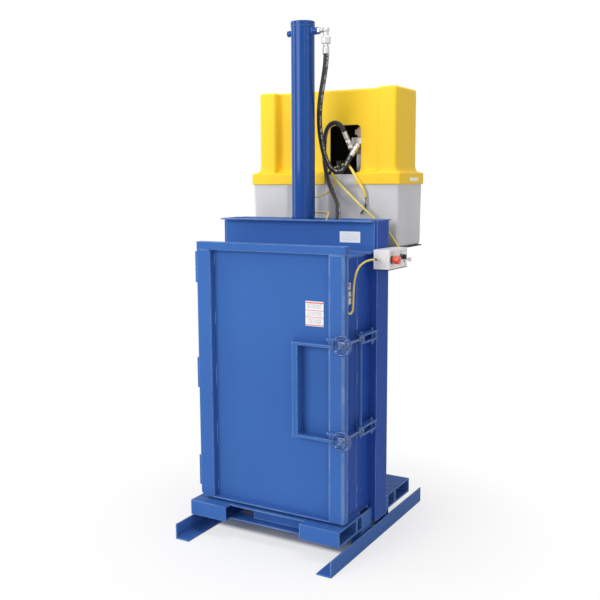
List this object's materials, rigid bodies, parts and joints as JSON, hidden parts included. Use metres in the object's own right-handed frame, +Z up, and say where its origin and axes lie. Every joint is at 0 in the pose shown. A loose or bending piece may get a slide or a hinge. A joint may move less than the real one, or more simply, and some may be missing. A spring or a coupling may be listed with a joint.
{
  "type": "drum crusher",
  "caption": "Hydraulic crusher that presses a steel drum flat behind a hinged, screw-latched door, with its power unit under a lift-off hood behind the cylinder.",
  "frame": {"origin": "on the floor under the ram axis", "axes": "+X to the right seen from the door, +Y to the back, +Z up"},
  "size_m": [0.982, 1.046, 2.484],
  "materials": {
    "machine_blue": "gloss enamel",
    "cylinder_blue": "gloss enamel",
    "rod_chrome": "hard chromed",
    "bright_steel": "zinc plated",
    "latch_enamel": "gloss enamel",
    "gland_metal": "nickel plated",
    "switch_grey": "satin",
    "box_grey": "satin",
    "black_paint": "satin",
    "stop_red": "gloss",
    "knob_black": "gloss",
    "key_chrome": "plated",
    "bin_grey": "satin moulded",
    "hood_yellow": "satin moulded",
    "valve_metal": "machined",
    "hose_rubber": "satin",
    "cable_yellow": "satin"
  },
  "bodies": {
    "frame": {"left_floor_angle": "machine_blue", "right_floor_angle": "machine_blue", "base_legs": "machine_blue", "front_cross_channel": "machine_blue", "rear_cross_channel": "machine_blue", "front_fork_pockets": "machine_blue", "rear_fork_pockets": "machine_blue", "front_sill": "machine_blue", "chamber_floor": "machine_blue", "side_plates": "machine_blue", "back_shell": "machine_blue", "front_posts": "machine_blue", "left_column": "machine_blue", "right_column": "machine_blue", "roof_plate": "machine_blue", "front_top_channel": "machine_blue", "rear_top_channel": "machine_blue", "cylinder_mount_plate": "machine_blue", "mount_bolts": "bright_steel", "cylinder_barrel": "cylinder_blue", "cylinder_end_cap": "cylinder_blue", "cylinder_gland": "cylinder_blue", "port_elbows": "bright_steel", "hinge_frame_knuckles": "machine_blue", "hinge_pins": "bright_steel", "latch_brackets": "machine_blue", "latch_hinge_rod": "machine_blue", "interlock_switch": "switch_grey", "control_box": "box_grey", "control_box_bracket": "black_paint", "cable_glands": "gland_metal", "power_unit_shelf": "black_paint", "power_unit_bin": "bin_grey", "power_unit_hood": "hood_yellow", "oil_reservoir": "black_paint", "electric_motor": "black_paint", "pump_valve_block": "valve_metal", "upper_hose": "hose_rubber", "lower_hose": "hose_rubber", "control_cable": "cable_yellow", "interlock_cable": "cable_yellow", "sensor_cable": "cable_yellow", "supply_cable": "cable_yellow"},
    "door": {"door_panel": "machine_blue", "door_left_member": "machine_blue", "door_right_member": "machine_blue", "door_top_band": "machine_blue", "door_bottom_ledge": "machine_blue", "door_latch_bars": "machine_blue", "hinge_door_knuckles": "machine_blue"},
    "ram": {"piston": "bright_steel", "piston_rod": "rod_chrome", "platen": "cylinder_blue"},
    "upper_latch": {"upper_swing_bolt": "latch_enamel"},
    "lower_latch": {"lower_swing_bolt": "latch_enamel"},
    "upper_wheel": {"upper_handwheel": "latch_enamel"},
    "lower_wheel": {"lower_handwheel": "latch_enamel"},
    "stop": {"stop_button": "stop_red"},
    "selector": {"run_selector": "knob_black"},
    "key": {"key_switch": "key_chrome"}
  },
  "joints": [
    {"name": "door_swing", "type": "hinge", "parent": "frame", "child": "door", "pos_m": [-0.402, -0.336, 0.813], "axis": [0, 0, -1], "range_deg": [0, 110]},
    {"name": "upper_latch_swing", "type": "hinge", "parent": "frame", "child": "upper_latch", "pos_m": [0.416, -0.207, 1.018], "axis": [0, 0, 1], "range_deg": [0, 110]},
    {"name": "lower_latch_swing", "type": "hinge", "parent": "frame", "child": "lower_latch", "pos_m": [0.416, -0.207, 0.586], "axis": [0, 0, 1], "range_deg": [0, 110]},
    {"name": "upper_wheel_spin", "type": "hinge", "parent": "upper_latch", "child": "upper_wheel", "pos_m": [0.416, -0.4, 1.018], "axis": [0, -1, 0], "continuous": true},
    {"name": "lower_wheel_spin", "type": "hinge", "parent": "lower_latch", "child": "lower_wheel", "pos_m": [0.416, -0.4, 0.586], "axis": [0, -1, 0], "continuous": true},
    {"name": "ram_slide", "type": "slide", "parent": "frame", "child": "ram", "axis": [0, 0, -1], "range_m": [0, 0.82]},
    {"name": "stop_push", "type": "slide", "parent": "frame", "child": "stop", "axis": [-1, 0, 0], "range_m": [0, 0.006]},
    {"name": "selector_turn", "type": "hinge", "parent": "frame", "child": "selector", "pos_m": [0.511, 0.023, 1.38], "axis": [1, 0, 0], "range_deg": [0, 90]},
    {"name": "key_turn", "type": "hinge", "parent": "frame", "child": "key", "pos_m": [0.511, 0.069, 1.364], "axis": [1, 0, 0], "range_deg": [0, 90]}
  ]
}
